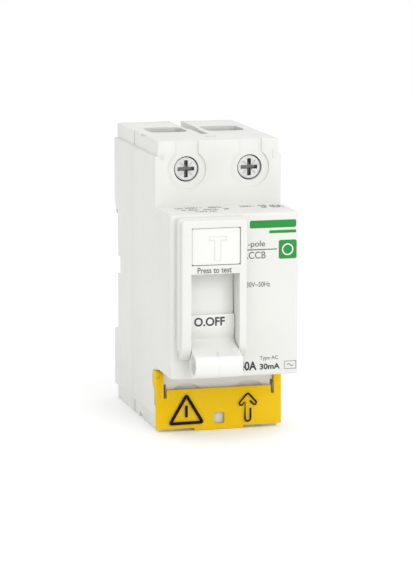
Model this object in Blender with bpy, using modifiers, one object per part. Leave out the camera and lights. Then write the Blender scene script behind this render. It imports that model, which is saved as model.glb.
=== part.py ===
"""Two-module residual current device on a DIN rail: housing, terminals, flap, toggle and trip mechanism.

Frame: metres, X across the device, Y into the depth (the front looks along -Y), Z up.
The origin is the centre of the face that sits on the DIN rail. Lengths below are in millimetres:
shapes are cut and joined at that scale, and node() brings each finished one to metres.
"""
import math

import bmesh
import bpy
from mathutils import Matrix, Vector

MM = 0.001
GAP = 0.3                # clearance between neighbouring pieces
SEAM_GAP = 0.12          # parting line between base and cover
SIDES = 24               # sides of a small round piece

# Housing
HALF_WIDTH = 18.0        # two 18 mm modules
HALF_HEIGHT = 40.5
SHELL_ROUND = 0.4        # rounding of the shells' outer edges
CAP_Z = 36.3             # above this the end caps are slightly narrower
CAP_INSET = 0.8
CAP_X = HALF_WIDTH - CAP_INSET
REAR_Y = 4.5
CAP_REAR_Y = 3.9
SEAM_Y = -17.0           # joint between base and cover, through the wire entries
TERMINAL_Y = -44.0       # face with the terminal screws
NOSE_Y = -61.0
NOSE_Z = 22.5
NOSE_ROUND = 0.8
WALL = 1.5
INNER_X = HALF_WIDTH - WALL
INNER_Z = HALF_HEIGHT - 1.6
FLOOR_Y = -1.8           # inside of the rear wall
CAP_NOTCH = 0.6          # width of the notches in the caps' corners
# Notches in the cover's end edges, for the top and the bottom: y span, depth
END_NOTCHES = {1: ((-29.0, -24.0), 0.6), -1: ((-27.8, -22.6), 1.3)}
COVER_SCREW_Z = (27.2, -27.2)
COVER_SCREW_HEAD = {27.2: 4.0, -27.2: 0.9}   # y of each head's outer face
COVER_SCREW_R = 1.2
COVER_SCREW_HEAD_R = 2.2

# DIN rail recess
RAIL_LOW_Z = -19.7
RAIL_HIGH_Z = 15.7
JAW_Z = 18.6

# Terminals: one pole each side, at the top and at the bottom
POLE_X = 9.0
TERMINAL_Z = 32.6
CORE_X = 2.8             # half width of the solid web between the poles
CHAMBER_Z = 24.5
ENTRY_X = (2.8, 13.8)
ENTRY_Y = (-23.2, -11.0)
ENTRY_CORNER = 2.6
SCREW_HOLE_R = 3.55
SCREW_HEAD_R = 3.2
SCREW_SHANK_R = 1.9
SCREW_HEAD_Y = -42.9
BAR_Y = (-24.1, -23.1)   # conductor strip through a cage
CAGE_Y = (-27.6, -9.6)

# Toggle and test button
TOGGLE_X = (-13.2, -0.14)
WINDOW_X = (-13.4, 0.06)
WINDOW_Z = (-16.8, 6.95)
SHUTTER_Y = (-59.7, -59.2)   # flat that closes the window above the upper pad: at its foot, at its top
SHUTTER_Z = 7.4
SHUTTER_BACK_Y = -57.5
SHUTTER_WING_X = (-14.0, 0.75)   # its wings pass behind the sides of the window
PIVOT = (-50.0, -7.3)
DRUM_R = 10.4
PAD_R = 11.3
HANDLE_DEG = -31.7       # rest direction of the handle, below the horizontal
HANDLE_REACH = 19.5
HANDLE_R = 3.6
PAD_DEG = 43.7           # upper pad's reach from the handle
LOWER_PAD_DEG = 73.0     # lower pad's reach, so that it fills the window once the handle is up
HANDLE_HOLLOW_R = 2.6
HANDLE_HOLLOW = 3.0      # depth of the hollow in each end of the handle
BUTTON_X = (-13.1, 0.2)
BUTTON_Z = (9.4, 19.3)
BUTTON_Y = -65.2
BUTTON_GAP = 0.15
STEM = (-6.45, 14.35)    # x, z of the button's stem
STEM_R = 1.6
PIN_R = 1.5              # toggle pin
BEZEL_Y = (-65.5, -61.05)
BEZEL_X = (-16.5, 2.2)
BEZEL_Z = (-17.0, 21.9)
BEZEL_ROUND = 0.5
BEZEL_STEP = (1.5, 0.5, 2.6)   # lower tier: how far back, how much wider, and how much shorter it is
# Bracket that carries the toggle's pin
FRAME_Y = (-57.0, -38.0)
FRAME_Z = (-20.6, 20.4)
FRAME_PLATE = 1.2
FRAME_X = (-15.4, 2.15)
TAB_Y = (-48.2, -47.0)   # tab behind the test button's spring
TAB_Z = 10.6

# Release: relay, its plunger and the trip lever
RELAY_X = (-15.9, -8.4)
RELAY_Y = (-13.4, -2.2)
RELAY_Z = (-21.4, -8.4)
PLUNGER = (-11.6, -12.0)       # x, z
PLUNGER_Y = (-16.4, -6.6)
TRIP_X = (-13.3, -10.3)
TRIP_PIVOT = (-17.9, -20.0)

# Sum-current sensor: centre x, y, and the core and winding
SENSOR = (5.5, -9.6)
CORE_R = (4.7, 6.2)
CORE_Z = (-18.6, -12.4)
WINDING_R = (3.6, 7.3)
WINDING_Z = (-19.6, -11.0)
CONDUCTOR_R = 0.9

# Contact carrier and its link to the toggle
CARRIER = (-27.0, -4.0)
OPEN_DEG = -22.0         # lean of the open contacts
CRANK = (-46.0, -7.75)   # link pin in the toggle
CARRIER_CRANK = (-16.96, -8.49)

# Terminal flap
FLAP_PIVOT = (-43.2, -25.7)
FLAP_Y = (-45.2, -44.3)
FLAP_Z = (-39.7, -28.7)
FLAP_SLOT_X = (15.0, 15.9)
FLAP_SLOT_Z = (-31.0, -27.2)
FLAP_DISC_R = 2.5
FLAP_CONE_R = 2.05       # radius of an arm's round root at its inner face; it widens outwards
FLAP_EAR_X = 16.9        # inner face of an ear
FLAP_PIN_R = 0.45
FLAP_PIN_GAP = 0.12

COLLECTION = bpy.data.collections.new("residual_current_device")
TOOLS = bpy.data.collections.new("cutters")

PALETTE = {
    "housing": ((0.86, 0.86, 0.83), 0.42, 0.0),
    "control": ((0.88, 0.88, 0.86), 0.38, 0.0),
    "flap": ((0.78, 0.47, 0.02), 0.42, 0.0),
    "steel": ((0.62, 0.62, 0.60), 0.3, 1.0),
    "copper": ((0.78, 0.40, 0.22), 0.3, 1.0),
    "silver": ((0.80, 0.79, 0.76), 0.25, 1.0),
    "insulation": ((0.05, 0.12, 0.45), 0.5, 0.0),
    "relay": ((0.05, 0.05, 0.06), 0.45, 0.0),
    "board": ((0.02, 0.20, 0.08), 0.5, 0.0),
    "core": ((0.10, 0.10, 0.11), 0.6, 0.0),
    "resistor": ((0.55, 0.42, 0.25), 0.5, 0.0),
}


# ---- helpers ----------------------------------------------------------------------------------

def material(name, palette_key):
    colour, roughness, metallic = PALETTE[palette_key]
    made = bpy.data.materials.new(name)
    made.use_nodes = True
    shader = made.node_tree.nodes["Principled BSDF"]
    shader.inputs["Base Color"].default_value = (*colour, 1.0)
    shader.inputs["Roughness"].default_value = roughness
    shader.inputs["Metallic"].default_value = metallic
    return made


def add_object(mesh, name="tool"):
    made = bpy.data.objects.new(name, mesh)
    TOOLS.objects.link(made)
    made.hide_render = True
    made.display_type = "WIRE"
    return made


def from_bmesh(shape, name="tool"):
    mesh = bpy.data.meshes.new(name)
    shape.to_mesh(mesh)
    shape.free()
    return add_object(mesh, name)


def block(x, y, z, bevel=0.0, edges="all", segments=3):
    """A box between the given limits, with some edges rounded.

    These are all of them, those along one axis, or all except those of the rear (high y) or front face.
    """
    shape = bmesh.new()
    bmesh.ops.create_cube(shape, size=1.0)
    size = Vector([abs(b - a) for a, b in (x, y, z)])
    centre = Vector([(a + b) / 2 for a, b in (x, y, z)])
    bmesh.ops.scale(shape, vec=size, verts=shape.verts)
    bmesh.ops.translate(shape, vec=centre, verts=shape.verts)
    if bevel:
        kept_y = {"not rear": max(y), "not front": min(y)}.get(edges)
        chosen = []
        for edge in shape.edges:
            start, end = (vert.co for vert in edge.verts)
            if edges in "xyz":
                chosen += [edge] if abs((end - start).normalized()["xyz".index(edges)]) > 0.9 else []
            elif kept_y is None or max(abs(start.y - kept_y), abs(end.y - kept_y)) > 1e-4:
                chosen.append(edge)
        bmesh.ops.bevel(
            shape, geom=chosen, offset=bevel, segments=segments, profile=0.5, affect="EDGES",
        )
    return from_bmesh(shape)


TURN = {
    "x": Matrix.Rotation(math.pi / 2, 4, "Y"),
    "y": Matrix.Rotation(-math.pi / 2, 4, "X"),
    "z": Matrix.Identity(4),
}


def rod(axis, centre, radius, span, sides=SIDES, end_radius=None):
    """A cylinder or cone along an axis; centre holds the other two coordinates in x, y, z order."""
    low, high = sorted(span)
    shape = bmesh.new()
    bmesh.ops.create_cone(
        shape, cap_ends=True, segments=sides, radius1=radius,
        radius2=(radius if end_radius is None else end_radius), depth=(high - low),
    )
    place = list(centre)
    place.insert("xyz".index(axis), (low + high) / 2)
    bmesh.ops.transform(shape, matrix=Matrix.Translation(Vector(place)) @ TURN[axis], verts=shape.verts)
    return from_bmesh(shape)


def to_mesh(curve_object, name="tool"):
    """Turns a curve object into a welded mesh object."""
    bpy.context.view_layer.update()
    graph = bpy.context.evaluated_depsgraph_get()
    mesh = bpy.data.meshes.new_from_object(curve_object.evaluated_get(graph))
    shape = bmesh.new()
    shape.from_mesh(mesh)
    bmesh.ops.remove_doubles(shape, verts=shape.verts, dist=1e-4)
    bmesh.ops.recalc_face_normals(shape, faces=shape.faces)
    shape.to_mesh(mesh)
    shape.free()
    made = add_object(mesh, name)
    made.matrix_world = curve_object.matrix_world
    bpy.data.objects.remove(curve_object)
    return made


# A flat outline is drawn in its own XY plane; these turn that plane into the part's YZ or XZ plane.
STAND = {
    "x": Matrix(((0, 0, 1, 0), (1, 0, 0, 0), (0, 1, 0, 0), (0, 0, 0, 1))),
    "y": Matrix(((1, 0, 0, 0), (0, 0, -1, 0), (0, 1, 0, 0), (0, 0, 0, 1))),
}


def prism(axis, outline, span):
    """A flat outline in the plane across an axis (YZ for x, XZ for y), extruded between two values."""
    low, high = sorted(span)
    curve = bpy.data.curves.new("outline", "CURVE")
    curve.dimensions = "2D"
    curve.fill_mode = "BOTH"
    curve.extrude = (high - low) / 2
    line = curve.splines.new("POLY")
    line.points.add(len(outline) - 1)
    for point, (u, v) in zip(line.points, outline):
        point.co = (u, v, 0.0, 1.0)
    line.use_cyclic_u = True
    guide = bpy.data.objects.new("outline", curve)
    TOOLS.objects.link(guide)
    middle = Vector((0.0, 0.0, 0.0))
    middle["xy".index(axis)] = (low + high) / 2
    guide.matrix_world = Matrix.Translation(middle) @ STAND[axis]
    return to_mesh(guide)


def arc(centre, radius, start_deg, end_deg, steps):
    """Points on a circle; angles from the first axis towards the second."""
    for step in range(steps + 1):
        angle = math.radians(start_deg + (end_deg - start_deg) * step / steps)
        yield (centre[0] + radius * math.cos(angle), centre[1] + radius * math.sin(angle))


def wire(points, radius, name="tool", resolution=2):
    """A bent wire through the points, as a closed tube."""
    curve = bpy.data.curves.new("wire", "CURVE")
    curve.dimensions = "3D"
    curve.bevel_depth = radius
    curve.bevel_resolution = resolution
    curve.use_fill_caps = True
    line = curve.splines.new("POLY")
    line.points.add(len(points) - 1)
    for point, place in zip(line.points, points):
        point.co = (*(Vector(place)), 1.0)
    guide = bpy.data.objects.new("wire", curve)
    TOOLS.objects.link(guide)
    return to_mesh(guide, name)


def smooth_path(points, steps=5):
    """Catmull-Rom points through a route."""
    route = [Vector(p) for p in points]
    route = [route[0] * 2 - route[1]] + route + [route[-1] * 2 - route[-2]]
    path = []
    for before, start, end, after in zip(route, route[1:], route[2:], route[3:]):
        for step in range(steps):
            t = step / steps
            path.append(0.5 * (
                2 * start + (end - before) * t
                + (2 * before - 5 * start + 4 * end - after) * t ** 2
                + (3 * start - before - 3 * end + after) * t ** 3
            ))
    return path + [route[-2]]


def helix(axis, centre, radius, span, turns, per_turn=9):
    """Points of a coil along an axis; centre holds the other two coordinates."""
    count = int(turns * per_turn)
    points = []
    for step in range(count + 1):
        angle = 2 * math.pi * step / per_turn
        place = [centre[0] + radius * math.cos(angle), centre[1] + radius * math.sin(angle)]
        place.insert("xyz".index(axis), span[0] + (span[1] - span[0]) * step / count)
        points.append(place)
    return points


def combine(target, tools, operation):
    for tool in tools:
        step = target.modifiers.new(operation.lower(), "BOOLEAN")
        step.operation = operation
        step.object = tool
        step.solver = "EXACT"
    return target


def cut(target, *tools):
    return combine(target, tools, "DIFFERENCE")


def join(target, *tools):
    return combine(target, tools, "UNION")


def baked_mesh(shape):
    """The shape's mesh in world space with its modifiers applied; the shape itself is removed."""
    bpy.context.view_layer.update()
    graph = bpy.context.evaluated_depsgraph_get()
    mesh = bpy.data.meshes.new_from_object(shape.evaluated_get(graph))
    mesh.transform(shape.matrix_world)
    bpy.data.objects.remove(shape)
    return mesh


def place(shape, pivot, degrees, offset=(0.0, 0.0)):
    """Turns a shape about a line along X through pivot (y, z), then moves it by offset (y, z).

    Positive degrees lift what points to -Y.
    """
    mesh = baked_mesh(shape)
    centre = Matrix.Translation(Vector((0.0, *pivot)))
    turn = centre @ Matrix.Rotation(math.radians(degrees), 4, Vector((-1, 0, 0))) @ centre.inverted()
    mesh.transform(Matrix.Translation(Vector((0.0, *offset))) @ turn)
    return add_object(mesh)


def node(name, shape, palette_key, origin=None):
    """Makes a finished shape a visible sub-part; origin is the (x, y, z) of its joint."""
    mesh = baked_mesh(shape)
    mesh.transform(Matrix.Scale(MM, 4))
    made = bpy.data.objects.new(name, mesh)
    mesh.name = name
    COLLECTION.objects.link(made)
    if origin:
        at = Vector(origin) * MM
        mesh.transform(Matrix.Translation(-at))
        made.location = at
    mesh.materials.clear()
    mesh.materials.append(material(name, palette_key))
    mesh.shade_smooth()
    mesh.set_sharp_from_angle(angle=math.radians(30))
    return made


def poles():
    """The four terminals: name ending, side (-1 left, 1 right), end (1 top, -1 bottom)."""
    for side_name, side in (("left", -1), ("right", 1)):
        for end_name, end in (("line", 1), ("load", -1)):
            yield f"{end_name}_{side_name}", side, end


def mirrored(low, high, side):
    """An x or z span given for the positive side, moved to the side asked for."""
    return tuple(sorted((low * side, high * side)))


# ---- housing ----------------------------------------------------------------------------------

def entry_cutters():
    """Wire entries through the end caps, one for each terminal."""
    for _, side, end in poles():
        yield block(mirrored(*ENTRY_X, side), ENTRY_Y, mirrored(30.0, 42.0, end), ENTRY_CORNER, "z", 6)


def groove_cutters():
    """The grooves between the poles: wide at the rear, narrower in front."""
    for end in (1, -1):
        yield block((-1.75, 1.75), (SEAM_Y, 6.0), mirrored(31.0, 42.0, end))
        yield block((-1.0, 1.0), (-29.5, SEAM_Y + 0.5), mirrored(31.0, 42.0, end))


def cap_slot_cutters():
    """Small slots in the end caps, for a label carrier."""
    for end in (1, -1):
        yield block((-1.7, 1.7), (-36.2, -34.5), mirrored(39.5, 42.0, end))
        for side in (1, -1):
            yield block(mirrored(1.9, 6.0, side), (1.4, 3.2), mirrored(39.5, 42.0, end))


def cap_notch_cutters():
    """Small notches in the end caps' outer corners: at the seam, and in the cover's end edges."""
    for side in (1, -1):
        for end, (span, depth) in END_NOTCHES.items():
            x = mirrored(CAP_X - CAP_NOTCH, HALF_WIDTH + 1, side)
            yield block(x, (SEAM_Y - 0.5, SEAM_Y + 0.5), mirrored(CAP_Z + 0.1, 42.0, end))
            yield block(x, span, mirrored(HALF_HEIGHT - depth, 42.0, end))


def build_base():
    rear = (SEAM_Y + SEAM_GAP / 2, REAR_Y)
    cap_depth = (rear[0], CAP_REAR_Y)
    base = block((-HALF_WIDTH, HALF_WIDTH), rear, (-CAP_Z, CAP_Z), SHELL_ROUND, "not front")
    join(base, block((-CAP_X, CAP_X), cap_depth, (-HALF_HEIGHT, HALF_HEIGHT), SHELL_ROUND, "not front"))
    hollow = [block((-INNER_X, INNER_X), (-20.0, FLOOR_Y), (-22.8, 22.8))]
    for _, side, end in poles():
        chamber = block(mirrored(CORE_X, INNER_X, side), (-20.0, FLOOR_Y), mirrored(CHAMBER_Z, INNER_Z, end))
        hollow.append(chamber)
    recess = [
        (8.0, RAIL_LOW_Z), (0.0, RAIL_LOW_Z), (0.0, RAIL_HIGH_Z), (1.2, RAIL_HIGH_Z),
        (1.2, RAIL_HIGH_Z - 1.3), (2.1, RAIL_HIGH_Z - 1.3), (3.7, JAW_Z), (8.0, JAW_Z),
    ]
    hollow.append(prism("x", recess, (-20, 20)))
    for side in (1, -1):
        hollow.append(block(mirrored(INNER_X, 19.0, side), (-2.8, 1.0), (-2.9, 2.3)))
    clip_channel = block((-5.3, 5.3), (1.0, 6.0), (-42.0, RAIL_LOW_Z + 1.0))
    hollow.append(clip_channel)
    hollow.append(block((-2.2, 2.2), (FLOOR_Y + 0.6, 2.0), (-42.0, -35.0)))
    cut(base, *hollow, *entry_cutters(), *groove_cutters(), *cap_slot_cutters(), *cap_notch_cutters())
    for side in (1, -1):
        tongue_x = (side * POLE_X - 3.8, side * POLE_X + 3.8)
        join(base, block(tongue_x, (BAR_Y[1] + GAP, FLOOR_Y - 5), (22.8, CHAMBER_Z)))
    for side in (1, -1):
        post = block(mirrored(14.4, INNER_X - GAP, side), (-30.0, FLOOR_Y - 2), (-8.0, 0.0))
        foot = block(mirrored(14.4, INNER_X + 0.5, side), (-16.0, FLOOR_Y + 0.5), (-8.0, 0.0))
        join(base, post, foot)
    cut(base, rod("x", CARRIER, 1.5, (-16.9, 16.9)))
    for screw_z in COVER_SCREW_Z:
        cut(base, rod("y", (0.0, screw_z), COVER_SCREW_R + GAP, (-20.0, 8.0)))
        head_y = COVER_SCREW_HEAD[screw_z]
        cut(base, rod("y", (0.0, screw_z), COVER_SCREW_HEAD_R + GAP, (head_y - 1.5, 8.0)))
    return node("rear_base", base, "housing")


def build_cover_screws():
    for name, z in zip(("cover_screw_top", "cover_screw_bottom"), COVER_SCREW_Z):
        head_y = COVER_SCREW_HEAD[z]
        screw = rod("y", (0.0, z), COVER_SCREW_HEAD_R, (head_y - 1.2, head_y))
        join(screw, rod("y", (0.0, z), COVER_SCREW_R, (-27.0, head_y - 1.0), 16))
        cut(screw, block((-1.4, 1.4), (head_y - 0.6, head_y + 1), (z - 0.3, z + 0.3)))
        cut(screw, block((-0.3, 0.3), (head_y - 0.6, head_y + 1), (z - 1.4, z + 1.4)))
        node(name, screw, "steel")


def keyhole_cutters():
    """Shallow recess round each terminal screw, with its channel to the end of the housing."""
    for _, side, end in poles():
        centre = (side * POLE_X, end * TERMINAL_Z)
        yield rod("y", centre, 5.5, (TERMINAL_Y - 1, TERMINAL_Y + 0.5), 36)
        channel = block(
            (centre[0] - 3.3, centre[0] + 3.3), (TERMINAL_Y - 1, TERMINAL_Y + 0.5),
            mirrored(TERMINAL_Z, 42.0, end),
        )
        yield channel
        yield rod("y", centre, SCREW_HOLE_R, (TERMINAL_Y - 1, TERMINAL_Y + 8), 36)


def flap_cone(low, high, inner_radius, outer_radius, side):
    """A cone about the flap's hinge axis, from |x| low to high, on one side."""
    radii = (inner_radius, outer_radius) if side > 0 else (outer_radius, inner_radius)
    return rod("x", FLAP_PIVOT, radii[0], mirrored(low, high, side), end_radius=radii[1])


def flap_recess_cutters():
    """Room for the flap's ears in both sides of the cover, and the holes for its pins."""
    inner = FLAP_SLOT_X[1] - 0.2
    outer = FLAP_EAR_X - 0.1
    for side in (1, -1):
        yield block(mirrored(*FLAP_SLOT_X, side), (TERMINAL_Y - 1, TERMINAL_Y + 2), FLAP_SLOT_Z)
        yield flap_cone(inner, outer, FLAP_CONE_R + GAP, FLAP_DISC_R + GAP, side)
        yield rod("x", FLAP_PIVOT, FLAP_DISC_R + GAP, mirrored(outer - 0.01, 19.0, side))
        ear_room = mirrored(FLAP_EAR_X - 0.35, 19.0, side)
        yield block(ear_room, (-46.0, FLAP_PIVOT[0] + GAP), (-33.0, FLAP_PIVOT[1]))
        yield rod("x", FLAP_PIVOT, FLAP_PIN_R + FLAP_PIN_GAP, mirrored(14.4, 19.0, side), 24)


def button_hole_cutter():
    x = (BUTTON_X[0] - BUTTON_GAP, BUTTON_X[1] + BUTTON_GAP)
    z = (BUTTON_Z[0] - BUTTON_GAP, BUTTON_Z[1] + BUTTON_GAP)
    return block(x, (-70, -55), z)


def build_cover():
    front_half = (TERMINAL_Y, SEAM_Y - SEAM_GAP / 2)
    width = (-HALF_WIDTH, HALF_WIDTH)
    cover = block(width, front_half, (-CAP_Z, CAP_Z), SHELL_ROUND, "not rear")
    join(
        cover,
        block((-CAP_X, CAP_X), front_half, (-HALF_HEIGHT, HALF_HEIGHT), SHELL_ROUND, "not rear"),
        block(width, (NOSE_Y, TERMINAL_Y + 5), (-NOSE_Z, NOSE_Z), NOSE_ROUND, "not rear", 4),
    )
    cuts = [
        block((-INNER_X, INNER_X), (NOSE_Y + 1.6, -10.0), (-NOSE_Z + WALL, NOSE_Z - WALL)),
        block((-INNER_X, INNER_X), (TERMINAL_Y + 1.6, -10.0), (-22.8, 22.8)),
    ]
    for _, side, end in poles():
        cuts.append(block(
            mirrored(CORE_X, INNER_X, side), (TERMINAL_Y + 1.6, -10.0), mirrored(CHAMBER_Z, INNER_Z, end),
        ))
        slot_half = 4.1 if end > 0 else 1.3
        slot_x = (side * POLE_X - slot_half, side * POLE_X + slot_half)
        cuts.append(block(slot_x, (BAR_Y[0] - GAP, -10.0), mirrored(22.0, 25.0, end)))
    cut(cover, *cuts)
    for _, side, end in poles():
        centre = (side * POLE_X, end * TERMINAL_Z)
        join(cover, rod("y", centre, 5.0, (TERMINAL_Y + 1, TERMINAL_Y + 5), 32))
    for side in (1, -1):
        join(cover, block(mirrored(14.2, 17.5, side), (TERMINAL_Y + 1, -39.0), (-34.0, -22.0)))
    window = block(WINDOW_X, (-70, -57), WINDOW_Z)
    cut(cover, window, button_hole_cutter(), *keyhole_cutters(), *flap_recess_cutters())
    cut(cover, *entry_cutters(), *groove_cutters(), *cap_slot_cutters(), *cap_notch_cutters())
    for screw_z in COVER_SCREW_Z:
        cut(cover, rod("y", (0.0, screw_z), COVER_SCREW_R + GAP, (-28.0, -10.0)))
    return node("front_cover", cover, "housing")


# Lower corners of the guards: x, side the corner faces, z, radius
GUARD_CORNERS = (
    (BEZEL_X[1], 1, BEZEL_Z[0], 2.0),
    (BEZEL_X[0] + BEZEL_STEP[1], -1, BEZEL_Z[0], 1.4),
)


def corner_cutter(x, side, z, radius):
    """What lies outside a rounded lower corner at (x, z), all the way along Y."""
    centre = (x - side * radius, z + radius)
    ends = (0, -90) if side > 0 else (180, 270)
    outline = [(x + side, z - 1.0), (x + side, z + radius)]
    outline += list(arc(centre, radius, *ends, 6))
    outline.append((x - side * radius, z - 1.0))
    return prism("y", outline, (-70.0, -60.0))


def build_bezel():
    """Raised frame round the test button and the toggle, with two guards beside the handle."""
    back, wider, shorter = BEZEL_STEP
    tier_y = (BEZEL_Y[0] + back, BEZEL_Y[1])
    tier_z = (BEZEL_Z[0] + shorter, BEZEL_Z[1])
    bezel = block(BEZEL_X, tier_y, tier_z, BEZEL_ROUND, "not rear")
    front_x = (BEZEL_X[0] + wider, BEZEL_X[1])
    join(bezel, block(front_x, BEZEL_Y, (BEZEL_Z[0], BEZEL_Z[1] - 0.3), BEZEL_ROUND, "not rear"))
    depth = BEZEL_Y[1] - BEZEL_Y[0]
    below, ahead, behind = BEZEL_Z[0] - 1, BEZEL_Y[0] - 1, BEZEL_Y[1] + 1
    foot = [(behind, below), (ahead, below), (ahead, BEZEL_Z[0] + depth)]
    foot += list(arc((BEZEL_Y[1], BEZEL_Z[0] + depth), depth, 180, 270, 10))
    foot.append((behind, BEZEL_Z[0]))
    cut(bezel, prism("x", foot, (-20.0, 20.0)))
    cut(bezel, block(WINDOW_X, (-70, -55), (-25.0, WINDOW_Z[1])), button_hole_cutter())
    for x, side, z, radius in GUARD_CORNERS:
        cut(bezel, corner_cutter(x, side, z, radius))
    return node("toggle_bezel", bezel, "housing")


def build_flap():
    """Hinged plate with a thumb tab, two relief slots beside its arms, ears and hinge pins."""
    arm_top = FLAP_PIVOT[1] + 0.5
    half = [
        (7.0, -40.4), (7.15, FLAP_Z[0]), (HALF_WIDTH, FLAP_Z[0] + 0.05), (HALF_WIDTH, arm_top),
        (FLAP_SLOT_X[1], arm_top), (FLAP_SLOT_X[1], FLAP_SLOT_Z[0]), (FLAP_SLOT_X[0], FLAP_SLOT_Z[0]),
        (FLAP_SLOT_X[0], FLAP_Z[1]),
    ]
    outline = half + [(-x, z) for x, z in reversed(half)]
    plate = prism("y", outline, FLAP_Y)
    ear = [(FLAP_Y[0] + 0.4, -32.4)] + list(arc(FLAP_PIVOT, FLAP_DISC_R, 130, -100, 20))
    ear += [(FLAP_Y[1] + 0.25, -32.4)]
    for side in (1, -1):
        join(plate, prism("x", ear, mirrored(FLAP_EAR_X, HALF_WIDTH - 0.02, side)))
        join(plate, flap_cone(FLAP_SLOT_X[1], FLAP_EAR_X + 0.05, FLAP_CONE_R, FLAP_DISC_R - 0.02, side))
        join(plate, rod("x", FLAP_PIVOT, FLAP_PIN_R, mirrored(14.7, 17.2, side), 16))
    cut(plate, block((-1.6, 1.6), (-47, -42), (-38.8, -35.6), 0.5, "y"))
    return node("terminal_flap", plate, "flap", (0.0, *FLAP_PIVOT))


# ---- terminals --------------------------------------------------------------------------------

# Cross recess with fine ticks between its arms: turn in degrees, depth, half length, half width
SCREW_RECESS = ((0, 1.7, 2.35, 0.52), (90, 1.7, 2.35, 0.52), (45, 0.2, 2.4, 0.08), (-45, 0.2, 2.4, 0.08))


def build_terminal(name, side, end):
    x, z = side * POLE_X, end * TERMINAL_Z
    screw = rod("y", (x, z), SCREW_HEAD_R, (SCREW_HEAD_Y, SCREW_HEAD_Y + 2.6), 32)
    join(screw, rod("y", (x, z), SCREW_SHANK_R, (SCREW_HEAD_Y + 2, BAR_Y[0] - GAP), 20))
    for turn, deep, half_length, half_width in SCREW_RECESS:
        blade = block((-half_length, half_length), (-1.0, deep), (-half_width, half_width))
        mesh = baked_mesh(blade)
        mesh.transform(Matrix.Rotation(math.radians(turn), 4, "Y"))
        mesh.transform(Matrix.Translation((x, SCREW_HEAD_Y, z)))
        cut(screw, add_object(mesh))
    node(f"terminal_screw_{name}", screw, "steel", (x, SCREW_HEAD_Y, z))

    cage = block((x - 5.2, x + 5.2), CAGE_Y, (z - 4.4, z + 4.4), 0.6, "z")
    cut(
        cage,
        block((x - 4.3, x + 4.3), (CAGE_Y[0] + 2.4, CAGE_Y[1] - 1.0), (z - 6, z + 6)),
        rod("y", (x, z), SCREW_SHANK_R + 0.25, (CAGE_Y[0] - 1, CAGE_Y[0] + 4), 20),
    )
    node(f"clamp_cage_{name}", cage, "steel", (x, CAGE_Y[0], z))

    reach = 8.0 if end > 0 else 26.5
    bar = block((x - 3.8, x + 3.8), BAR_Y, mirrored(reach, 37.6, end))
    if end > 0:
        join(bar, rod("y", (x, reach + 2.4), 1.9, (BAR_Y[0] - 1.0, BAR_Y[0] + 0.3), 16))
    node(f"terminal_bar_{name}", bar, "copper")


# ---- toggle -----------------------------------------------------------------------------------

def toggle_outline():
    """Side view of the toggle: drum, shutter, raised label pads either side of the handle, and the handle."""
    out_deg = 180 - HANDLE_DEG
    neck_deg = math.degrees(math.asin(1.7 / PAD_R))
    out = Vector((math.cos(math.radians(out_deg)), math.sin(math.radians(out_deg))))
    up = Vector((out.y, -out.x))
    half = [(13.1, 1.8), (17.6, 2.75)]
    nose = [(HANDLE_REACH + y, z) for y, z in arc((0.0, 0.0), HANDLE_R, 78, -78, 12)]
    lobe = half + nose + [(reach, -height) for reach, height in reversed(half)]
    shutter = (SHUTTER_BACK_Y - PIVOT[0], SHUTTER_Z - PIVOT[1])
    tangent_deg = math.degrees(
        math.atan2(shutter[1], shutter[0]) - math.acos(DRUM_R / math.hypot(*shutter))
    )
    upper_pad = list(arc(PIVOT, PAD_R, out_deg - PAD_DEG, out_deg - neck_deg, 12))
    outline = list(arc(PIVOT, DRUM_R, out_deg + LOWER_PAD_DEG, tangent_deg + 360, 30))
    outline += [(SHUTTER_BACK_Y, SHUTTER_Z), (SHUTTER_Y[1], SHUTTER_Z), (SHUTTER_Y[0], upper_pad[0][1])]
    outline += upper_pad
    outline += [tuple(Vector(PIVOT) + out * reach + up * height) for reach, height in lobe]
    outline += list(arc(PIVOT, PAD_R, out_deg + neck_deg, out_deg + LOWER_PAD_DEG, 18))
    return outline


def handle_hollow_cutters():
    """A round hollow in each end of the handle."""
    out = math.radians(180 - HANDLE_DEG)
    centre = (PIVOT[0] + HANDLE_REACH * math.cos(out), PIVOT[1] + HANDLE_REACH * math.sin(out))
    yield rod("x", centre, HANDLE_HOLLOW_R, (TOGGLE_X[0] - 1, TOGGLE_X[0] + HANDLE_HOLLOW))
    yield rod("x", centre, HANDLE_HOLLOW_R, (TOGGLE_X[1] - HANDLE_HOLLOW, TOGGLE_X[1] + 1))


def build_toggle():
    drum = prism("x", toggle_outline(), TOGGLE_X)
    join(drum, block(SHUTTER_WING_X, (SHUTTER_Y[1] + 0.05, SHUTTER_BACK_Y - 0.1), (-4.6, SHUTTER_Z - 0.1)))
    cuts = [
        rod("x", PIVOT, PIN_R + GAP, (-20, 5)),
        rod("x", PIVOT, 4.6, (TOGGLE_X[1] - 4.2, 5), 24),
        block((-7.75, -5.55), (-47.6, -35.0), (-20.0, 5.0)),
        rod("x", CRANK, 0.95, (-9.8, -5.0), 12),
    ]
    cut(drum, *cuts, *handle_hollow_cutters())
    node("toggle_lever", drum, "control", (0.0, *PIVOT))
    pin = rod("x", PIVOT, PIN_R, (FRAME_X[0] - 0.5, FRAME_X[1] + 0.45), 20)
    node("toggle_pin", pin, "steel")
    coil = helix("x", PIVOT, 3.2, (TOGGLE_X[1] - 3.6, TOGGLE_X[1] - 0.9), 3.5)
    node("toggle_spring", wire(coil, 0.3), "steel", (0.0, *PIVOT))


def build_link():
    route = [
        (-9.3, *CRANK), (-7.2, *CRANK), (-6.65, CRANK[0] + 0.6, CRANK[1]),
        (-6.65, CARRIER_CRANK[0] - 0.6, CARRIER_CRANK[1]), (-6.1, *CARRIER_CRANK), (-2.4, *CARRIER_CRANK),
    ]
    node("toggle_link", wire(route, 0.6), "steel", (-6.65, *CRANK))


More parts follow.
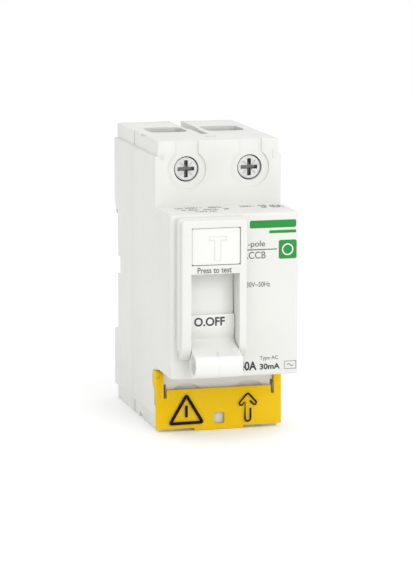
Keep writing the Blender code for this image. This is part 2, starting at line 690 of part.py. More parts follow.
def build_carrier():
    """The rocker with one contact blade a pole, shaped closed and then leant back to open."""
    carrier = rod("x", CARRIER, 3.0, (-13.6, 13.6))
    tools = []
    for side in (-1, 1):
        x = side * POLE_X
        tools.append(block((x - 3.2, x + 3.2), (CARRIER[0] - 2.6, CARRIER[0] + 2.2), (-4.0, 1.5)))
    join(carrier, *tools)
    cut(carrier, rod("x", CARRIER, 1.5, (-20, 20), 16))
    for side in (-1, 1):
        x = side * POLE_X
        cut(carrier, block((x - 1.8, x + 1.8), (CARRIER[0] - 0.8, CARRIER[0] + 0.8), (-0.8, 3.0)))
    carrier = place(carrier, CARRIER, OPEN_DEG)
    angle = math.degrees(math.atan2(CARRIER_CRANK[1] - CARRIER[1], CARRIER_CRANK[0] - CARRIER[0]))
    reach = math.hypot(CARRIER_CRANK[0] - CARRIER[0], CARRIER_CRANK[1] - CARRIER[1])
    arm = [(2.6, 1.3)] + list(arc((reach, 0.0), 2.2, 90, -90, 8)) + [(2.6, -1.3)]
    join(carrier, place(prism("x", arm, (-5.2, -3.0)), (0.0, 0.0), -angle, CARRIER))
    cut(carrier, rod("x", CARRIER_CRANK, 1.25, (-8, 0), 16))
    node("contact_carrier", carrier, "relay", (0.0, *CARRIER))
    pin = rod("x", CARRIER, 1.2, (-16.2, 16.2), 16)
    node("carrier_pin", pin, "steel")
    for side_name, side in (("left", -1), ("right", 1)):
        x = side * POLE_X
        blade = block((x - 1.5, x + 1.5), (CARRIER[0] - 0.5, CARRIER[0] + 0.5), (-0.5, 12.6))
        join(blade, rod("y", (x, 10.4), 1.4, (CARRIER[0] + 0.3, CARRIER[0] + 1.6), 16))
        node(f"moving_contact_{side_name}", place(blade, CARRIER, OPEN_DEG), "silver", (x, *CARRIER))


# ---- test button and mechanism ----------------------------------------------------------------

def build_button():
    button = block(BUTTON_X, (BUTTON_Y, -58.6), BUTTON_Z, 0.5, "y")
    flange_x = (BUTTON_X[0] - 1.0, BUTTON_X[1] + 1.0)
    flange_z = (BUTTON_Z[0] - 0.8, BUTTON_Z[1] + 0.8)
    join(button, block(flange_x, (NOSE_Y + 1.9, -57.9), flange_z))
    inner_x = (BUTTON_X[0] + 1.0, BUTTON_X[1] - 1.0)
    inner_z = (BUTTON_Z[0] + 1.0, BUTTON_Z[1] - 1.0)
    cut(button, block(inner_x, (BUTTON_Y + 1.3, -50.0), inner_z))
    join(button, rod("y", STEM, STEM_R, (BUTTON_Y + 1.0, -46.0), 20))
    node("test_button", button, "control", (STEM[0], BUTTON_Y, STEM[1]))
    coil = helix("y", STEM, 2.4, (-63.2, -48.6), 7)
    node("test_button_spring", wire(coil, 0.25), "steel")
    leaf = block((-8.2, -4.7), (-43.7, -43.4), (11.0, 20.0))
    node("test_contact", leaf, "copper")


def build_frame():
    """Bracket that carries the toggle's pin and backs the test button's spring."""
    frame = block((FRAME_X[0], FRAME_X[0] + FRAME_PLATE), FRAME_Y, FRAME_Z)
    tools = [
        block((FRAME_X[1] - FRAME_PLATE, FRAME_X[1]), FRAME_Y, (FRAME_Z[0], 5.5)),
        block(FRAME_X, FRAME_Y, (FRAME_Z[0], FRAME_Z[0] + FRAME_PLATE)),
        block((FRAME_X[0], -0.4), TAB_Y, (TAB_Z, FRAME_Z[1])),
    ]
    join(frame, *tools)
    cut(frame, rod("x", PIVOT, PIN_R + GAP, (-20, 5)), rod("y", STEM, STEM_R + 0.4, (-50, -45)))
    node("mechanism_frame", frame, "steel")


def build_trip():
    case = block(RELAY_X, RELAY_Y, RELAY_Z, 0.6, "y")
    cut(case, rod("y", PLUNGER, 1.0 + GAP, (-20.0, -4.0), 16))
    node("relay_case", case, "relay")
    plunger = rod("y", PLUNGER, 1.0, PLUNGER_Y, 16)
    node("relay_plunger", plunger, "steel", (PLUNGER[0], PLUNGER_Y[0], PLUNGER[1]))
    lever = rod("x", TRIP_PIVOT, 1.9, TRIP_X)
    join(lever, block(TRIP_X, (TRIP_PIVOT[0] - 0.6, TRIP_PIVOT[0] + 0.6), (TRIP_PIVOT[1], -9.4)))
    cut(lever, rod("x", TRIP_PIVOT, 0.8 + GAP, (-20, 0), 16))
    node("trip_lever", lever, "control", (sum(TRIP_X) / 2, *TRIP_PIVOT))
    pin = rod("x", TRIP_PIVOT, 0.8, (RELAY_X[0] + 0.1, TRIP_X[1] + 0.7), 12)
    node("trip_lever_pin", pin, "steel")


def ring(profile, centre, name_key):
    """A turned ring about a vertical axis through centre (x, y); profile is (radius, z), clockwise."""
    mesh = bpy.data.meshes.new("profile")
    shape = bmesh.new()
    corners = [shape.verts.new((r, 0.0, z)) for r, z in profile]
    for start, end in zip(corners, corners[1:] + corners[:1]):
        shape.edges.new((start, end))
    shape.to_mesh(mesh)
    shape.free()
    guide = add_object(mesh)
    turn = guide.modifiers.new("turn", "SCREW")
    turn.steps = turn.render_steps = 32
    turn.use_merge_vertices = True
    turn.merge_threshold = 1e-5
    guide.location = (centre[0], centre[1], 0.0)
    return node(name_key[0], guide, name_key[1])


def build_sensor():
    core = [(CORE_R[0], CORE_Z[1]), (CORE_R[1], CORE_Z[1]), (CORE_R[1], CORE_Z[0]), (CORE_R[0], CORE_Z[0])]
    ring(core, SENSOR, ("toroid_core", "core"))
    inner, outer = WINDING_R
    bottom, top = WINDING_Z
    winding = [
        (inner, top), (outer, top), (outer, bottom), (CORE_R[1] + GAP, bottom),
        (CORE_R[1] + GAP, CORE_Z[1] + GAP), (CORE_R[0] - GAP, CORE_Z[1] + GAP),
        (CORE_R[0] - GAP, bottom), (inner, bottom),
    ]
    ring(winding, SENSOR, ("toroid_winding", "copper"))
    left = [
        (-9.0, -21.8, -28.6), (-9.0, -21.8, -23.6), (-7.6, -20.9, -21.9), (-1.5, -15.2, -21.5),
        (3.6, -9.9, -20.6), (4.0, -9.6, -17.0), (4.0, -9.6, -11.5), (2.6, -10.2, -7.6),
        (-3.0, -12.0, -5.2), (-8.2, -13.6, -4.4), (-9.0, -18.0, -4.0), (-9.0, -22.9, -4.0),
    ]
    right = [
        (9.0, -21.8, -28.6), (9.0, -21.8, -23.6), (8.6, -18.6, -21.6), (7.4, -11.4, -21.0),
        (7.0, -9.6, -17.0), (7.0, -9.6, -11.5), (7.6, -11.0, -7.2), (8.8, -14.5, -4.6), (9.0, -22.9, -4.0),
    ]
    for name, route in (("left", left), ("right", right)):
        node(f"primary_conductor_{name}", wire(smooth_path(route, 3), CONDUCTOR_R), "insulation")


def build_electronics():
    board = block((14.0, 15.2), (-56.0, -40.0), (-19.0, 5.0))
    node("circuit_board", board, "board")
    node("test_resistor", rod("z", (12.1, -48.0), 1.5, (-3.0, 4.0), 16), "resistor")
    node("filter_capacitor", rod("x", (-50.5, -12.0), 3.0, (9.0, 13.7), 20), "insulation")


def build_rail_clip():
    """Sliding foot clip: plate with a tooth under the rail, two springy arms and a tool slot."""
    clip = block((-5.0, 5.0), (1.3, 3.6), (-40.1, RAIL_LOW_Z + 0.7))
    tooth = [(1.3, -20.5), (1.3, -18.5), (2.1, -18.5), (3.6, -20.5)]
    join(clip, prism("x", tooth, (-5.0, 5.0)))
    cuts = [block((-2.0, 2.0), (0, 5), (-38.4, -36.2))]
    for side in (1, -1):
        cuts.append(block(mirrored(2.9, 3.7, side), (0, 5), (-34.5, -23.0)))
        cuts.append(block(mirrored(2.9, 6.0, side), (0, 5), (-35.4, -34.4)))
    cut(clip, *cuts)
    node("rail_clip", clip, "control", (0.0, 1.3, RAIL_LOW_Z))


def build_all():
    for old in list(bpy.data.objects):
        bpy.data.objects.remove(old)
    scene = bpy.context.scene.collection
    scene.children.link(COLLECTION)
    scene.children.link(TOOLS)
    build_base()
    build_cover()
    build_bezel()
    build_cover_screws()
    build_flap()
    for name, side, end in poles():
        build_terminal(name, side, end)
    build_toggle()
    build_link()
    build_carrier()
    build_button()
    build_frame()
    build_trip()
    build_sensor()
    build_electronics()
    build_rail_clip()


build_all()
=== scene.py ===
"""Looks for the residual current device: materials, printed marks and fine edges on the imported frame.

Everything is in metres in the frame's own axes: X across, Y into the depth, Z up.
"""
import math

import bmesh
import bpy
from mathutils import Matrix, Vector


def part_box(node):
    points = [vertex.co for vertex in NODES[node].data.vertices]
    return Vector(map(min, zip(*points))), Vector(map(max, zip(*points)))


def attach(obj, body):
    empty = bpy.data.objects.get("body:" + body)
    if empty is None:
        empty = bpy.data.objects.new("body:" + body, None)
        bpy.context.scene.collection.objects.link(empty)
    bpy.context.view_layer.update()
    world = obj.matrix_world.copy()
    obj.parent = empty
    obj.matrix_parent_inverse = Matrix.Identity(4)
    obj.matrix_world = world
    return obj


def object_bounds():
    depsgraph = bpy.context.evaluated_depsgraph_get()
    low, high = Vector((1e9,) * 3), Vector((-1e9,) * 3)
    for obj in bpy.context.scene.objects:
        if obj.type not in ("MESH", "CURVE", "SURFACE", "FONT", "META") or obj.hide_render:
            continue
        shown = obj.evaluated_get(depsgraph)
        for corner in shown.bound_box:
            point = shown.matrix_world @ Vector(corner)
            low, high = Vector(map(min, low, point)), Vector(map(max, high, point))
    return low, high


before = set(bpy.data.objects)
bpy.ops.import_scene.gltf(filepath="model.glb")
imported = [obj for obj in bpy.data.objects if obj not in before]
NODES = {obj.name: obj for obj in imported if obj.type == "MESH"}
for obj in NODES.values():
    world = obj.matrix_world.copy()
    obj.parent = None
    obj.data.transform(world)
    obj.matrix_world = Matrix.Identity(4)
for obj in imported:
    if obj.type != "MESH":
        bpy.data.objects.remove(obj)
CAD_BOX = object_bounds()

MM = 0.001
SCENE = bpy.context.scene


# ---- materials --------------------------------------------------------------------------------

TINT_STOPS = (0.32, 0.68)    # noise values at which a tint's two shades are reached
PLASTIC_IOR = 1.49
METAL_DARKER = 0.86
METAL_MARK = 0.000004        # depth of the fine marks in metal
SCREW_HEAD_Y = -0.0429
# Painted shade for the terminal screws' cross recesses: the steel's colour darkens towards this colour
# between two depths below the head
RECESS_PAINTED_SHADE_FADE = (0.00012, 0.0006)      # depths below a screw's head where it starts and ends darkening
RECESS_PAINTED_SHADE = (0.16, 0.16, 0.165, 1.0)

def principled(name, colour, roughness, metallic=0.0, **sockets):
    """A Principled material; extra sockets are set by name, with _ for a space."""
    made = bpy.data.materials.new(name)
    made.use_nodes = True
    shader = made.node_tree.nodes["Principled BSDF"]
    shader.inputs["Base Color"].default_value = (*colour, 1.0)
    shader.inputs["Roughness"].default_value = roughness
    shader.inputs["Metallic"].default_value = metallic
    for socket, value in sockets.items():
        shader.inputs[socket.replace("_", " ")].default_value = value
    return made


def add(material, kind, **values):
    """Adds a shader node; values are set on its sockets, or else on the node itself."""
    made = material.node_tree.nodes.new(kind)
    for key, value in values.items():
        if key in made.inputs:
            made.inputs[key].default_value = value
        else:
            setattr(made, key, value)
    return made


def link(material, source, output, target, socket):
    """Joins one node's output to another's input."""
    material.node_tree.links.new(source.outputs[output], target.inputs[socket])


def noise(material, scale, detail=3.0, stretch=(1.0, 1.0, 1.0)):
    """Noise on the object's own coordinates, in metres, so it moves with the piece."""
    place = add(material, "ShaderNodeTexCoord")
    mapping = add(material, "ShaderNodeMapping", Scale=stretch)
    link(material, place, "Object", mapping, "Vector")
    made = add(material, "ShaderNodeTexNoise", Scale=scale, Detail=detail)
    link(material, mapping, "Vector", made, "Vector")
    return made


def ramp(material, source, output, low, high, start=0.3, stop=0.7):
    """Maps a value from start..stop to low..high."""
    made = add(material, "ShaderNodeMapRange")
    made.inputs["From Min"].default_value = start
    made.inputs["From Max"].default_value = stop
    made.inputs["To Min"].default_value = low
    made.inputs["To Max"].default_value = high
    link(material, source, output, made, "Value")
    return made


def tint(material, source, first, second):
    """Colour that wanders between two near shades."""
    made = add(material, "ShaderNodeValToRGB")
    for stop, place, shade in zip(made.color_ramp.elements, TINT_STOPS, (first, second)):
        stop.position = place
        stop.color = (*shade, 1.0)
    link(material, source, "Fac", made, "Fac")
    shader = material.node_tree.nodes["Principled BSDF"]
    link(material, made, "Color", shader, "Base Color")


def relief(material, source, depth):
    """Bump of the given depth in metres."""
    made = add(material, "ShaderNodeBump", Strength=1.0, Distance=depth)
    link(material, source, "Fac", made, "Height")
    shader = material.node_tree.nodes["Principled BSDF"]
    link(material, made, "Normal", shader, "Normal")


def moulded(name, colour, roughness, grain=5200.0, depth=0.000006, wander=0.012, gloss=0.5):
    """Injection-moulded plastic: spark-eroded grain, faint colour drift and uneven sheen."""
    made = principled(name, colour, roughness, IOR=PLASTIC_IOR, Specular_IOR_Level=gloss)
    shader = made.node_tree.nodes["Principled BSDF"]
    drift = noise(made, 70.0, 2.0)
    lighter = tuple(min(1.0, c + wander) for c in colour)
    darker = tuple(max(0.0, c - wander) for c in colour)
    tint(made, drift, darker, lighter)
    sheen = noise(made, 420.0, 4.0)
    uneven = ramp(made, sheen, "Fac", roughness - 0.05, roughness + 0.06)
    link(made, uneven, "Result", shader, "Roughness")
    relief(made, noise(made, grain, 2.0), depth)
    return made


def metal(name, colour, roughness, stretch=(1.0, 1.0, 1.0), scale=900.0):
    """Bare metal with fine marks; stretch packs them closer along an axis."""
    made = principled(name, colour, roughness, 1.0)
    shader = made.node_tree.nodes["Principled BSDF"]
    marks = noise(made, scale, 5.0, stretch)
    uneven = ramp(made, marks, "Fac", roughness - 0.08, roughness + 0.14)
    link(made, uneven, "Result", shader, "Roughness")
    darker = tuple(c * METAL_DARKER for c in colour)
    tint(made, noise(made, 260.0, 3.0), darker, colour)
    relief(made, marks, METAL_MARK)
    return made


HOUSING = moulded("white_housing", (0.69, 0.695, 0.662), 0.46)
CONTROL = moulded("white_control", (0.745, 0.745, 0.72), 0.36, grain=7000.0, depth=0.000003)
YELLOW = moulded("yellow_flap", (0.775, 0.50, 0.001), 0.6, wander=0.01, gloss=0.15)
BLACK = moulded("black_plastic", (0.025, 0.025, 0.028), 0.4)
SLEEVE = moulded("blue_sleeve", (0.03, 0.08, 0.36), 0.45)
BOARD = moulded("green_board", (0.015, 0.13, 0.05), 0.38, grain=2500.0)
CORE = moulded("grey_core", (0.07, 0.07, 0.075), 0.55)
LACQUER = moulded("tan_lacquer", (0.42, 0.30, 0.15), 0.4)
ZINC = metal("zinc_steel", (0.60, 0.60, 0.59), 0.24, stretch=(1.0, 1.0, 6.0))
SPRING = metal("spring_steel", (0.55, 0.55, 0.54), 0.22, scale=1400.0)
COPPER = metal("copper", (0.83, 0.42, 0.24), 0.28, stretch=(1.0, 1.0, 8.0))
SILVERED = metal("silvered_copper", (0.80, 0.72, 0.62), 0.25)


def steel_with_painted_recess_shade():
    """Zinc-plated steel with painted shade: its colour darkens below the plane of the terminal screws'
    heads, painting the shadow in their cross recesses.
    """
    made = metal("steel_with_painted_recess_shade", (0.66, 0.66, 0.65), 0.24, stretch=(6.0, 1.0, 1.0))
    shader = made.node_tree.nodes["Principled BSDF"]
    old = shader.inputs["Base Color"].links[0].from_node
    place = add(made, "ShaderNodeTexCoord")
    split = add(made, "ShaderNodeSeparateXYZ")
    link(made, place, "Object", split, "Vector")
    fade = [SCREW_HEAD_Y + depth for depth in RECESS_PAINTED_SHADE_FADE]
    depth = ramp(made, split, "Y", 0.0, 1.0, *fade)
    # painted shade: the recess shadow colour mixed into the base colour below the heads' plane
    shade = add(made, "ShaderNodeMixRGB", Color2=RECESS_PAINTED_SHADE)
    link(made, depth, "Result", shade, "Fac")
    link(made, old, "Color", shade, "Color1")
    link(made, shade, "Color", shader, "Base Color")
    return made


# the terminal screws' steel, with painted shade in the recesses of their heads
SCREW_STEEL_PAINTED_SHADE = steel_with_painted_recess_shade()
INK = moulded("dark_ink", (0.035, 0.035, 0.036), 0.55, wander=0.006)
FLAP_INK = moulded("black_ink", (0.010, 0.006, 0.003), 0.85, wander=0.002, gloss=0.15)
FAINT_INK = moulded("soft_dark_ink", (0.075, 0.075, 0.075), 0.55, wander=0.006)
GREEN_INK = moulded("green_ink", (0.0, 0.24, 0.03), 0.5, wander=0.01)
LIGHT_INK = moulded("light_ink", (0.80, 0.82, 0.79), 0.5)


# A node takes the first finish that lists the start of its name. Springs and pins come first.
FINISHES = (
    (HOUSING, ("front_cover", "rear_base", "toggle_bezel")),
    (CONTROL, ("toggle_lever", "test_button", "rail_clip", "trip_lever")),
    (YELLOW, ("terminal_flap",)),
    (BLACK, ("contact_carrier", "relay_case")),
    (COPPER, ("terminal_bar", "test_contact", "toroid_winding")),
    (SILVERED, ("moving_contact",)),
    (SLEEVE, ("primary_conductor", "filter_capacitor")),
    (CORE, ("toroid_core",)),
    (BOARD, ("circuit_board",)),
    (LACQUER, ("test_resistor",)),
    (SCREW_STEEL_PAINTED_SHADE, ("terminal_screw",)),
    (SPRING, ("toggle_link",)),
)


def finish_of(node):
    """The material of one of the frame's nodes; what isn't listed is zinc-plated steel."""
    if node.endswith("spring"):
        return SPRING
    if node.endswith("pin"):
        return ZINC
    for finish, starts in FINISHES:
        if node.startswith(starts):
            return finish
    return ZINC


# ---- fine edges on the frame's own pieces -----------------------------------------------------

# Width of the rounding, in millimetres
EDGE = {
    "front_cover": 0.12, "rear_base": 0.12, "toggle_bezel": 0.15, "toggle_lever": 0.35,
    "test_button": 0.12, "terminal_flap": 0.18, "rail_clip": 0.2, "mechanism_frame": 0.15,
    "relay_case": 0.25, "contact_carrier": 0.2, "circuit_board": 0.1,
}
FINE_EDGE = 0.08
WELD_GAP = 1e-6
FLAT_DEG = 0.6           # facets that meet flatter than this are joined
SHARP_DEG = 32           # edges sharper than this are rounded


def soften(piece, width):
    """Rounds the sharp edges of a faceted solid without moving its own vertices."""
    weld = piece.modifiers.new("weld", "WELD")
    weld.merge_threshold = WELD_GAP
    flat = piece.modifiers.new("flat", "DECIMATE")
    flat.decimate_type = "DISSOLVE"
    flat.angle_limit = math.radians(FLAT_DEG)
    edge = piece.modifiers.new("edge", "BEVEL")
    edge.width = width * MM
    edge.segments = 3
    edge.limit_method = "ANGLE"
    edge.angle_limit = math.radians(SHARP_DEG)
    edge.harden_normals = True
    edge.use_clamp_overlap = True


for node_name, piece in NODES.items():
    piece.data.materials.clear()
    piece.data.materials.append(finish_of(node_name))
    for polygon in piece.data.polygons:
        polygon.use_smooth = True
    soften(piece, EDGE.get(node_name, FINE_EDGE))


# ---- printed and moulded marks ----------------------------------------------------------------

PRINT = 0.00004          # how far print stands off its surface
RAISED = 0.00009         # how far the outlined letter on the button stands off it
RAISED_LETTER = 0.00012
STROKE_LIFT = 0.6        # a printed line's centre stands off its surface by this much of its height
CORNER_STEPS = 5
NOSE_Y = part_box("front_cover")[0][1]
NOSE_TOP = 0.0225
TERMINAL_Y = -0.044
FLAP_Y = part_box("terminal_flap")[0][1]
BEZEL_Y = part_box("toggle_bezel")[0][1]
BUTTON_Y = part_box("test_button")[0][1]
PIVOT = Vector((0.0, -0.050, -0.0073))
PAD_R = 0.0113
TOGGLE_TURN_DEG = 64.0   # from OFF to ON
HANDLE_DEG = 211.7       # direction of the handle's centre from the pivot, from +Y towards +Z
HANDLE_REACH = 0.0195
HANDLE_R = 0.0036
BEAD_R = 0.00013         # moulding line round the handle
BEAD_SUNK = 0.00006
BEAD_X = -0.0066
BEAD_HALF_DEG = 112


def keep(piece, finish, body):
    """Gives a new piece its material and the body it moves with."""
    piece.data.materials.clear()
    piece.data.materials.append(finish)
    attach(piece, body)
    return piece


def mesh_piece(curve_object, name):
    """Turns a text or curve object into a mesh piece of the given name."""
    SCENE.collection.objects.link(curve_object)
    bpy.context.view_layer.update()
    graph = bpy.context.evaluated_depsgraph_get()
    mesh = bpy.data.meshes.new_from_object(curve_object.evaluated_get(graph))
    bpy.data.objects.remove(curve_object)
    shape = bmesh.new()
    shape.from_mesh(mesh)
    bmesh.ops.remove_doubles(shape, verts=shape.verts, dist=1e-7)
    bmesh.ops.recalc_face_normals(shape, faces=shape.faces)
    shape.to_mesh(mesh)
    shape.free()
    mesh.name = name
    piece = bpy.data.objects.new(name, mesh)
    SCENE.collection.objects.link(piece)
    return piece


def fit(piece, x, rise, level, thickness=PRINT, facing="front"):
    """Scales flat lettering drawn in XY to fill x and rise (millimetres).

    It lies on the plane facing -Y at level, where rise is Z, or on one facing +Z, where rise is Y.
    """
    points = [v.co.copy() for v in piece.data.vertices]
    low = [min(p[i] for p in points) for i in range(3)]
    high = [max(p[i] for p in points) for i in range(3)]
    for vertex, p in zip(piece.data.vertices, points):
        across = (p.x - low[0]) / (high[0] - low[0])
        upward = (p.y - low[1]) / (high[1] - low[1])
        out = (p.z - low[2]) / (high[2] - low[2])
        sideways = (x[0] + (x[1] - x[0]) * across) * MM
        along = (rise[0] + (rise[1] - rise[0]) * upward) * MM
        if facing == "front":
            vertex.co = (sideways, level - thickness * out, along)
        else:
            vertex.co = (sideways, along, level + thickness * out)
    return piece


def lettering(name, words, x, rise, level, finish, body="housing", weight=0.0, thickness=PRINT,
              facing="front"):
    """Flat letters filling the box x by rise, in millimetres."""
    curve = bpy.data.curves.new(name, "FONT")
    curve.body = words
    curve.extrude = 0.02
    curve.offset = weight
    curve.resolution_u = 6
    piece = mesh_piece(bpy.data.objects.new(name, curve), name)
    return keep(fit(piece, x, rise, level, thickness, facing), finish, body)


def stroke(name, points, width, y, finish, body="housing", closed=False, height=PRINT):
    """A printed line of even width through points (x, z) in millimetres, with round joins."""
    curve = bpy.data.curves.new(name, "CURVE")
    curve.dimensions = "3D"
    curve_radius = width / 2 * MM
    curve.bevel_depth = curve_radius
    curve.bevel_resolution = 3
    curve.use_fill_caps = True
    line = curve.splines.new("POLY")
    line.points.add(len(points) - 1)
    for point, (x, z) in zip(line.points, points):
        point.co = (x * MM, 0.0, z * MM, 1.0)
    line.use_cyclic_u = closed
    piece = mesh_piece(bpy.data.objects.new(name, curve), name)
    for vertex in piece.data.vertices:
        vertex.co.y = y + (vertex.co.y / curve_radius - STROKE_LIFT) * height
    return keep(piece, finish, body)


def tile(name, x, z, y, finish, body="housing", corner=0.3, thickness=PRINT):
    """A printed rounded rectangle."""
    curve = bpy.data.curves.new(name, "CURVE")
    curve.dimensions = "2D"
    curve.fill_mode = "BOTH"
    curve.extrude = PRINT / 2
    points = []
    for cx, cz, start in (
        (x[1] - corner, z[1] - corner, 0), (x[0] + corner, z[1] - corner, 90),
        (x[0] + corner, z[0] + corner, 180), (x[1] - corner, z[0] + corner, 270),
    ):
        for step in range(CORNER_STEPS + 1):
            angle = math.radians(start + 90 / CORNER_STEPS * step)
            points.append((cx + corner * math.cos(angle), cz + corner * math.sin(angle)))
    line = curve.splines.new("POLY")
    line.points.add(len(points) - 1)
    for point, (px, pz) in zip(line.points, points):
        point.co = (px * MM, pz * MM, 0.0, 1.0)
    line.use_cyclic_u = True
    piece = mesh_piece(bpy.data.objects.new(name, curve), name)
    return keep(fit(piece, x, z, y, thickness), finish, body)


def slice_across(piece, count=10):
    """Cuts a mesh at even heights, so that it can follow a curved surface."""
    heights = [vertex.co.z for vertex in piece.data.vertices]
    shape = bmesh.new()
    shape.from_mesh(piece.data)
    for step in range(1, count):
        level = min(heights) + (max(heights) - min(heights)) * step / count
        everything = shape.verts[:] + shape.edges[:] + shape.faces[:]
        bmesh.ops.bisect_plane(shape, geom=everything, plane_co=(0, 0, level), plane_no=(0, 0, 1))
    shape.to_mesh(piece.data)
    shape.free()


def wrap_on_pad(piece, turn_deg=0.0):
    """Lays flat print on the toggle's round label pad, then turns it about the toggle's axis."""
    slice_across(piece)
    turn = Matrix.Rotation(math.radians(turn_deg), 3, Vector((-1, 0, 0)))
    for vertex in piece.data.vertices:
        out = NOSE_Y - vertex.co.y
        height = vertex.co.z - PIVOT.z
        reach = math.sqrt(PAD_R ** 2 - height ** 2) + out
        vertex.co = PIVOT + turn @ Vector((vertex.co.x, -reach, height))
    return piece


def circle(centre, radius, steps=40):
    """Points (x, z) of a circle."""
    return [
        (centre[0] + radius * math.cos(2 * math.pi * k / steps),
         centre[1] + radius * math.sin(2 * math.pi * k / steps))
        for k in range(steps)
    ]


def front_marks():
    """Prints on the nose's front, the bezel and the button, and letters beside the terminals."""
    tile("maker_bar", (4.1, 17.2), (18.2, 20.3), NOSE_Y, GREEN_INK, corner=0.5)
    tile("maker_bar_small", (9.6, 17.2), (16.7, 17.5), NOSE_Y, GREEN_INK, corner=0.2)
    tile("green_tile", (12.3, 17.35), (9.6, 14.75), NOSE_Y, GREEN_INK, corner=0.5)
    stroke("tile_ring", circle((14.8, 12.15), 1.45), 0.36, NOSE_Y - PRINT, LIGHT_INK, closed=True)
    stroke("label_rule", [(2.3, 12.35), (11.8, 12.35)], 0.24, NOSE_Y, INK)
    rows = (
        ("pole_count", "2-pole", (2.4, 8.4), (12.7, 14.8), NOSE_Y, INK, 0.0),
        ("device_kind", "RCCB", (2.4, 8.6), (9.9, 11.8), NOSE_Y, FAINT_INK, 0.0),
        ("supply", "230V~50Hz", (2.4, 9.9), (2.1, 3.5), NOSE_Y, FAINT_INK, 0.0),
        ("rated_current", "40A", (1.3, 6.2), (-20.9, -18.4), NOSE_Y, INK, 0.03),
        ("trip_current", "30mA", (7.1, 12.8), (-20.8, -19.2), NOSE_Y, INK, 0.03),
        ("wave_type", "Type AC", (7.1, 12.3), (-18.4, -17.1), NOSE_Y, FAINT_INK, 0.0),
        ("test_words", "Press to test", (-11.7, -2.2), (7.2, 8.8), BEZEL_Y, FAINT_INK, 0.01),
    )
    for name, words, x, rise, level, finish, weight in rows:
        lettering(name, words, x, rise, level, finish, weight=weight)
    wave_marks()
    letter_outline = [
        (-8.35, 17.0), (-3.55, 17.0), (-3.55, 16.0), (-5.1, 16.0),
        (-5.1, 10.5), (-6.8, 10.5), (-6.8, 16.0), (-8.35, 16.0),
    ]
    stroke("test_letter", letter_outline, 0.22, BUTTON_Y, CONTROL, "test", closed=True, height=RAISED)
    for centre, letter in ((-16.0, "N"), (16.0, "1")):
        place = (centre - 0.6, centre + 0.6)
        lettering(f"terminal_letter_{letter}", letter, place, (35.2, 37.4), TERMINAL_Y, HOUSING,
                  thickness=RAISED_LETTER)


def wave_marks():
    """One period of a sine wave in a box: the sign for alternating current."""
    (left, right), (bottom, top) = (14.1, 17.4), (-20.9, -18.8)
    corners = [(left, bottom), (right, bottom), (right, top), (left, top)]
    stroke("wave_box", corners, 0.16, NOSE_Y, FAINT_INK, closed=True)
    span, swing, steps = 1.7, 0.32, 12
    wave = [
        ((left + right - span) / 2 + span * k / steps,
         (bottom + top) / 2 + swing * math.sin(2 * math.pi * k / steps))
        for k in range(steps + 1)
    ]
    stroke("wave_sign", wave, 0.18, NOSE_Y, FAINT_INK)


def top_marks():
    """Small rating lines on the upper face of the nose."""
    rows = (
        ("supply_row", "Un 230V~", (-13.6, -6.0), (-49.6, -47.4)),
        ("frequency_row", "50Hz", (-4.2, -0.6), (-49.6, -47.4)),
        ("current_row", "In 40A   30mA   2P", (-12.6, 0.8), (-53.2, -51.2)),
        ("type_row", "Type AC", (-9.8, -3.6), (-56.8, -54.8)),
        ("voltage_row", "230V~", (4.6, 9.0), (-50.0, -47.6)),
        ("poles_row", "2P 40A", (10.0, 16.4), (-52.6, -47.6)),
    )
    for name, words, x, depth in rows:
        lettering(name, words, x, depth, NOSE_TOP, FAINT_INK, facing="top")


def toggle_marks():
    """The toggle's two words on its round pad, for OFF and, a turn further down, for ON."""
    rows = (
        ("off_word", "O.OFF", (-11.5, -2.9), (-8.0, -5.6), 0.0),
        ("on_word", "I.ON", (-10.4, -3.6), (-9.3, -6.9), -TOGGLE_TURN_DEG),
    )
    for name, words, x, rise, turn_deg in rows:
        word = lettering(name, words, x, rise, NOSE_Y, INK, "toggle", weight=0.025)
        wrap_on_pad(word, turn_deg)
    handle_bead()


def handle_bead():
    """The fine moulding line round the middle of the handle."""
    curve = bpy.data.curves.new("handle_moulding_line", "CURVE")
    curve.dimensions = "3D"
    curve.bevel_depth = BEAD_R
    curve.bevel_resolution = 2
    curve.use_fill_caps = True
    line = curve.splines.new("POLY")
    out = math.radians(HANDLE_DEG)
    centre = (PIVOT.y + HANDLE_REACH * math.cos(out), PIVOT.z + HANDLE_REACH * math.sin(out))
    reach = HANDLE_R - BEAD_SUNK
    steps = 36
    line.points.add(steps)
    for step, point in enumerate(line.points):
        angle = out + math.radians(BEAD_HALF_DEG * (2 * step / steps - 1))
        y = centre[0] + reach * math.cos(angle)
        z = centre[1] + reach * math.sin(angle)
        point.co = (BEAD_X, y, z, 1.0)
    piece = mesh_piece(bpy.data.objects.new("handle_moulding_line", curve), "handle_moulding_line")
    keep(piece, CONTROL, "toggle")


def rounded(corners, radius, steps=4):
    """The corners (x, z) of a closed line, each replaced by a short curve."""
    points = []
    count = len(corners)
    for k, corner in enumerate(corners):
        here = Vector(corner)
        back = (Vector(corners[k - 1]) - here).normalized() * radius
        ahead = (Vector(corners[(k + 1) % count]) - here).normalized() * radius
        for step in range(steps + 1):
            t = step / steps
            points.append(tuple(here + back * (1 - t) ** 2 + ahead * t ** 2))
    return points


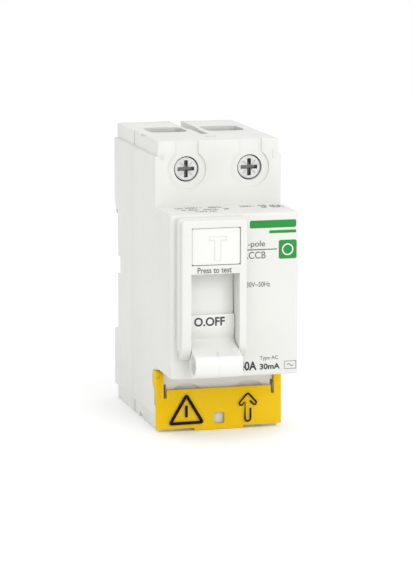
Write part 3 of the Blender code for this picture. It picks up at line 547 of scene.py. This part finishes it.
def flap_marks():
    """A triangle with a plain bar, and the outline of an arrow that points up."""
    triangle = rounded([(-9.5, -30.3), (-14.15, -38.15), (-4.85, -38.05)], 0.5)
    stroke("hand_triangle", triangle, 0.9, FLAP_Y, FLAP_INK, "flap", closed=True)
    stroke("triangle_bar", [(-9.5, -33.2), (-9.5, -36.5)], 0.75, FLAP_Y, FLAP_INK, "flap")
    shaft_x, shaft_half, foot_z = 8.2, 0.8, -37.7
    foot = [
        (shaft_x + shaft_half * math.cos(math.radians(a)), foot_z + shaft_half * math.sin(math.radians(a)))
        for a in range(0, -181, -30)
    ]
    head = [
        (7.4, -33.0), (6.55, -33.85), (5.95, -33.85), (5.75, -33.3), (5.85, -33.05), (7.8, -30.85),
        (8.2, -30.6), (8.6, -30.85), (10.6, -33.05), (10.65, -33.3), (10.45, -33.85), (9.85, -33.8),
        (8.85, -32.7),
    ]
    arrow = [(9.0, -34.8), (9.0, -37.6)] + foot + head
    stroke("lift_arrow", arrow, 0.5, FLAP_Y, FLAP_INK, "flap")


front_marks()
top_marks()
toggle_marks()
flap_marks()


# ---- floor, light and camera ------------------------------------------------------------------

FLOOR_HALF = 6.0
FLOOR_COLOUR = (0.99, 0.99, 0.99)
LIGHT_AIM = Vector((0.0, -0.03, 0.0))
LIGHT_SIZE = 0.5
LIGHTS = {
    "key": ((0.3, -0.95, 0.55), 2.9),
    "top": ((-0.15, -0.45, 0.85), 0.75),
}
EYE = Vector((-0.2023, -0.7752, 0.1301))
AIM = Vector((-0.00242, -0.04106, -0.00114))
LENS_MM = 173.9
ROLL_DEG = 0.13


def studio():
    """A pale floor under an even white sky."""
    floor_mesh = bpy.data.meshes.new("floor")
    shape = bmesh.new()
    bmesh.ops.create_grid(shape, x_segments=1, y_segments=1, size=FLOOR_HALF)
    shape.to_mesh(floor_mesh)
    shape.free()
    floor = bpy.data.objects.new("floor", floor_mesh)
    floor.location.z = CAD_BOX[0][2]
    floor_mesh.materials.append(principled("pale_floor", FLOOR_COLOUR, 0.9))
    SCENE.collection.objects.link(floor)
    world = bpy.data.worlds.new("soft_studio")
    world.use_nodes = True
    sky = world.node_tree.nodes["Background"]
    sky.inputs["Color"].default_value = (1.0, 1.0, 1.0, 1.0)
    sky.inputs["Strength"].default_value = 1.0
    SCENE.world = world
    SCENE.view_settings.view_transform = "Standard"


def aimed(place, aim):
    """The turn that points a lamp's or camera's -Z from place to aim."""
    return (aim - Vector(place)).to_track_quat("-Z", "Y")


def softbox(name, place, power):
    """A square area light aimed at the device."""
    data = bpy.data.lights.new(name, "AREA")
    data.size = LIGHT_SIZE
    data.energy = power
    lamp = bpy.data.objects.new(name, data)
    lamp.location = place
    lamp.rotation_euler = aimed(place, LIGHT_AIM).to_euler()
    SCENE.collection.objects.link(lamp)


def camera():
    """A long lens in front of the device, to its left and a little above."""
    data = bpy.data.cameras.new("camera")
    data.sensor_width = 36.0
    data.lens = LENS_MM
    data.clip_start = 0.01
    data.clip_end = 20.0
    made = bpy.data.objects.new("camera", data)
    made.matrix_world = (
        Matrix.Translation(EYE)
        @ aimed(EYE, AIM).to_matrix().to_4x4()
        @ Matrix.Rotation(math.radians(ROLL_DEG), 4, "Z")
    )
    SCENE.collection.objects.link(made)
    SCENE.camera = made


studio()
for light_name, (light_place, light_power) in LIGHTS.items():
    softbox(light_name, light_place, light_power)
camera()
